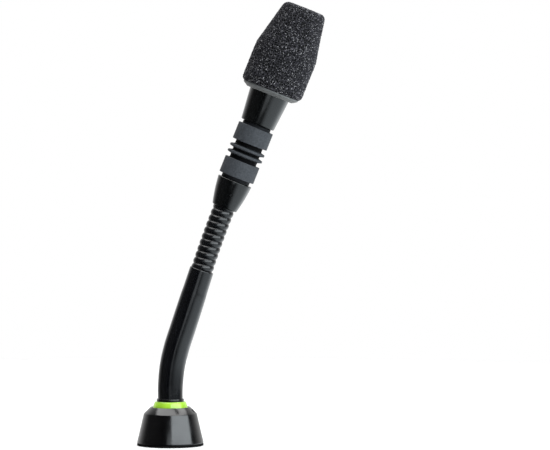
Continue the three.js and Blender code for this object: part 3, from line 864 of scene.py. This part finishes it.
def shock_mount():
    """The rubber moulding: cut at the lower hinge, over a ball, and in one piece across the upper one."""
    lower = meridian("shock_collar_lower", HEAD_FRAME)
    middle = meridian("shock_bellows", HEAD_FRAME)
    upper = meridian("shock_collar_upper", HEAD_FRAME)
    bore = min(r for r, _ in middle)
    core = min(r for r, _ in middle if r > bore + MM)
    near_core = core - 0.1 * MM
    low_hinge = (HEAD_FRAME.inverted() @ joint_at("shock_mount_nod")).z
    high_hinge = (HEAD_FRAME.inverted() @ joint_at("shock_mount_sway")).z
    seam = (low_hinge + high_hinge) / 2 + 0.1 * MM
    hinge_gap = 0.32 * MM  # the CAD pieces' ends next to a hinge are nearer to it than this

    def outer(outline, keep):
        """The outward side of an outline, from its bottom to its top."""
        chosen = [p for p in outline if p[0] > near_core and keep(p[1])]
        start = outline.index(min(chosen, key=lambda p: (round(p[1], 5), p[0])))
        walked = outline[start:] + outline[:start]
        if walked[1] not in chosen:
            walked = [walked[0], *reversed(walked[1:])]
        return [p for p in walked if p in chosen]

    def inner(outline, keep):
        """The bore's side of an outline, from its top to its bottom."""
        return [p for p in reversed(outline_up(outline)) if p[0] < near_core and keep(p[1])]

    def outline_up(outline):
        """An outline walked so that its bore runs from its bottom to its top."""
        start = outline.index(min(outline, key=lambda p: (round(p[1], 5), p[0])))
        walked = outline[start:] + outline[:start]
        if walked[1][0] > near_core:
            walked = [walked[0], *reversed(walked[1:])]
        return walked

    def clear_of(hinge):
        return lambda height: abs(height - hinge) > hinge_gap

    shapes = {
        "shock_mount_foot": [
            *outer(lower, clear_of(low_hinge)),
            (core, low_hinge),
            (bore, low_hinge),
            *inner(lower, clear_of(low_hinge)),
        ],
        "shock_mount_lower": [
            (bore, low_hinge),
            (core, low_hinge),
            *outer(middle, lambda h: low_hinge + hinge_gap < h < seam),
            (core, seam),
            (bore, seam),
        ],
        "shock_mount_upper": [
            (bore, seam),
            (core, seam),
            *outer(middle, lambda h: seam < h < high_hinge - hinge_gap),
            *outer(upper, clear_of(high_hinge)),
            *inner(upper, clear_of(high_hinge)),
        ],
    }
    slot = "mount_rubber"
    foot, lower_half, upper_half = (
        turned(name, eased(outline, 0.28 * MM, 4), HEAD_FRAME, LOOKS[slot], 128, 50)
        for name, outline in shapes.items()
    )
    centre = HEAD_FRAME @ Matrix.Translation((0, 0, low_hinge))
    ball = hinge_ball("shock_mount_ball", centre, core - 0.03 * MM, bore + 0.05 * MM, 1 * MM, slot)
    # Each piece stores where its grooves get painted shade.
    for piece in (foot, lower_half, upper_half, ball):
        mark_groove_shade(piece, core, 0.9 * MM)
    stands_for(foot, "adapter", slot, "shock_collar_lower")
    stands_for(lower_half, "bellows", slot, "shock_bellows")
    stands_for(ball, "bellows", slot)
    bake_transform(upper_half)
    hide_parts("shock_collar_upper")


# -------------------------------------------------------------------------------------- windscreen

def foam_cells(low, high, spacing, seed):
    """The centres of foam cells, on a jittered grid that fills a box, and how deep each cell is."""
    draw = random.Random(seed)
    counts = [math.ceil((high[k] - low[k]) / spacing) + 1 for k in range(3)]
    tree = kdtree.KDTree(counts[0] * counts[1] * counts[2])
    index = 0
    for i in range(counts[0]):
        for j in range(counts[1]):
            for k in range(counts[2]):
                jitter = Vector([draw.uniform(-0.5, 0.5) for _ in range(3)])
                tree.insert(Vector(low) + (Vector((i, j, k)) + jitter) * spacing, index)
                index += 1
    tree.balance()
    depths = [draw.uniform(0.45, 1.0) for _ in range(index)]
    return tree, depths


def vertex_vectors(collection, field, count):
    """A mesh's positions or normals, one row for each vertex."""
    values = np.zeros(count * 3)
    collection.foreach_get(field, values)
    return values.reshape(-1, 3)


def windscreen_foam():
    """The foam cap: an even mesh of its CAD outline, with cells sunk into its outside."""
    spacing, wall_width, depth = 0.95 * MM, 0.16, 0.8 * MM  # wall_width is a share of the spacing
    level = 0.72  # what is more of a wall than this stands out from the CAD's surface
    glint_wall, glint_share = 0.7, 0.11
    sag, sag_start = 1.0, 56 * MM
    narrowing, narrow_start, narrow_length = 0.035, 66 * MM, 17 * MM
    outline = eased(meridian("windscreen_foam", HEAD_FRAME), 0.5 * MM)
    foam = turned("windscreen_foam_cells", outline, UPRIGHT, LOOKS["windscreen_foam"], 128)
    remesh = foam.modifiers.new("even", "REMESH")
    remesh.mode = "VOXEL"
    remesh.voxel_size = 0.22 * MM
    apply_modifiers(foam)
    mesh = foam.data
    size = len(mesh.vertices)
    points = vertex_vectors(mesh.vertices, "co", size)
    normals = vertex_vectors(mesh.vertex_normals, "vector", size)
    tree, depths = foam_cells(points.min(0) - spacing, points.max(0) + spacing, spacing, 7)
    draw = random.Random(11)
    pore = np.zeros(size, np.float32)
    glint = np.zeros(size, np.float32)
    shift = np.zeros(size)
    for i in range(size):
        (_, cell, first), (_, _, second) = tree.find_n(Vector(points[i]), 2)
        wall = math.exp(-(((second - first) / spacing / wall_width) ** 2))
        # pore paints the cells near black, as shade, and varies the walls' tone at random.
        pore[i] = wall * draw.uniform(0.3, 1.0)
        shift[i] = (wall - level) * depths[cell] * depth
        # Painted highlights: bright specks on a share of the strut ends.
        if wall > glint_wall and draw.random() < glint_share:
            glint[i] = draw.uniform(0.3, 1.0)
    # The inside, which grips the capsule, is nearly smooth.
    ceiling = min(z for r, z in outline if r < 0.1 * MM)
    at_ceiling = [r for r, z in outline if z < ceiling + 0.2 * MM and abs(z - ceiling) < 0.6 * MM]
    radii = np.hypot(points[:, 0], points[:, 1])
    inside = (radii < max(at_ceiling) + 0.3 * MM) & (points[:, 2] < ceiling + 0.4 * MM)
    shift[inside] *= 0.25
    points += normals * shift[:, None]
    # Above its middle the soft cap sags a little to the leaning side, and its top is a little narrower.
    points[:, 0] += sag * np.maximum(points[:, 2] - sag_start, 0) ** 2
    points[:, :2] *= 1 - narrowing * np.clip((points[:, 2:] - narrow_start) / narrow_length, 0, 1)
    mesh.vertices.foreach_set("co", points.ravel())
    mesh.attributes.new("pore", "FLOAT", "POINT").data.foreach_set("value", pore)
    mesh.attributes.new("glint", "FLOAT", "POINT").data.foreach_set("value", glint)
    mesh.transform(HEAD_FRAME)
    mesh.shade_smooth()
    mesh.update()
    stands_for(foam, "windscreen", "windscreen_foam", "windscreen_foam")


# ------------------------------------------------------------------------------------------- stage

def floor():
    """A round pale table top, just below the gasket."""
    look = Look("floor", (0.88, 0.88, 0.88), 0.6)
    look.mottle(400 * MM, 0.01)
    radius, thickness, drop = 0.48, 0.02, 0.02 * MM
    outline = [(0, -thickness), (radius, -thickness), (radius, 0), (0, 0)]
    obj = turned("floor", outline, Matrix.Translation((0, 0, -drop)), look.material, 256)
    # Black paint would show this bright floor as a grey haze, so only the camera and soft light see it.
    obj.visible_glossy = False
    obj.visible_shadow = False


def area_light(name, azimuth, elevation, distance, width, height, power, colour=(1, 1, 1), roll=0):
    """A soft box that faces the microphone. Azimuth 0 is the front, and 90 the +X side, in degrees."""
    target = Vector((0.03, 0, 0.09))
    a, e = math.radians(azimuth), math.radians(elevation)
    away = Vector((math.sin(a) * math.cos(e), -math.cos(a) * math.cos(e), math.sin(e)))
    data = bpy.data.lights.new(name, "AREA")
    data.shape = "RECTANGLE"
    data.size, data.size_y = width, height
    data.energy = power
    data.color = colour
    obj = bpy.data.objects.new(name, data)
    obj.location = target + away * distance
    obj.rotation_mode = "QUATERNION"
    obj.rotation_quaternion = away.to_track_quat("Z", "Y") @ Quaternion((0, 0, 1), math.radians(roll))
    obj.visible_camera = False
    bpy.context.scene.collection.objects.link(obj)


def world():
    """White to the camera. What the microphone reflects is pale behind it and low down on its right,
    with a faint glow on its left."""
    studio = bpy.data.worlds.new("studio")
    bpy.context.scene.world = studio
    studio.use_nodes = True
    tree = studio.node_tree
    tree.nodes.clear()
    place = tree.nodes.new("ShaderNodeTexCoord")
    split = tree.nodes.new("ShaderNodeSeparateXYZ")
    tree.links.new(place.outputs["Generated"], split.inputs[0])

    def ramp(axis, start, end, low, high):
        """Runs smoothly from low to high along one axis of the direction that is looked in."""
        node = tree.nodes.new("ShaderNodeMapRange")
        node.interpolation_type = "SMOOTHSTEP"
        node.inputs["From Min"].default_value = start
        node.inputs["From Max"].default_value = end
        node.inputs["To Min"].default_value = low
        node.inputs["To Max"].default_value = high
        tree.links.new(split.outputs[axis], node.inputs["Value"])
        return node.outputs["Result"]

    def joined(kind, *inputs):
        node = tree.nodes.new(kind)
        for i, source in enumerate(inputs):
            tree.links.new(source, node.inputs[i])
        return node

    def glow(colour, strength=None):
        node = tree.nodes.new("ShaderNodeBackground")
        node.inputs["Color"].default_value = (*colour, 1)
        if strength is None:
            node.inputs["Strength"].default_value = 1.0
        else:
            tree.links.new(strength, node.inputs["Strength"])
        return node.outputs[0]

    def both(first, second):
        return joined("ShaderNodeAddShader", first, second).outputs[0]

    white, cool = (1, 1, 1), (0.86, 0.95, 1.0)
    behind = glow(white, ramp("Y", 0.05, 0.92, 0.008, 0.9))
    on_left = glow(white, ramp("X", -0.2, -0.95, 0.0, 0.06))
    low_down, on_right = ramp("Z", -0.03, -0.36, 0.0, 1.0), ramp("X", 0.1, 0.6, 0.0, 1.3)
    product = joined("ShaderNodeMath", low_down, on_right)
    product.operation = "MULTIPLY"
    reflected = both(both(behind, on_left), glow(cool, product.outputs[0]))
    to_camera = tree.nodes.new("ShaderNodeLightPath").outputs["Is Camera Ray"]
    mix = joined("ShaderNodeMixShader", to_camera, reflected, glow(white))
    out = tree.nodes.new("ShaderNodeOutputWorld")
    tree.links.new(mix.outputs[0], out.inputs["Surface"])


def camera():
    """A long lens at the height of the shock mount, a little to the right of straight ahead."""
    azimuth = math.radians(4)
    distance, height = 1.15, 115 * MM
    picture_width = 214.5 * MM
    centre = Vector((41 * MM / math.cos(azimuth), 0, 86.3 * MM))
    data = bpy.data.cameras.new("camera")
    data.sensor_width = 36
    data.lens = data.sensor_width * distance / picture_width
    data.clip_start, data.clip_end = 0.05, 20
    obj = bpy.data.objects.new("camera", data)
    obj.location = centre + Vector((math.sin(azimuth), -math.cos(azimuth), 0)) * distance
    obj.location.z = height
    obj.rotation_mode = "QUATERNION"
    obj.rotation_quaternion = (centre - obj.location).to_track_quat("-Z", "Y")
    bpy.context.scene.collection.objects.link(obj)
    bpy.context.scene.camera = obj


COOL_LIGHT = (0.89, 0.96, 1.0)

finish_cad_nodes()
turned_pieces()
mounting_stud()
mounting_nut()
capsule_grille()
with_screw("base_shell", UPRIGHT, 0.22 * MM, 160, "lock_screw")
with_screw("neck_adapter", HEAD_FRAME, 0.4 * MM, 144, "adapter_grub_screw")
neck_sleeve()
neck_coil()
shock_mount()
windscreen_foam()
floor()
area_light("key", 48.5, 16.5, distance=0.62, width=1.0, height=0.47, power=6.0, colour=COOL_LIGHT, roll=-6)
area_light("front", 3, -2, distance=0.62, width=0.24, height=0.2, power=0.16, colour=COOL_LIGHT)
area_light("overhead", 0, 89, distance=1.4, width=2.0, height=2.0, power=42)
world()
camera()
bpy.context.scene.view_settings.view_transform = "Standard"
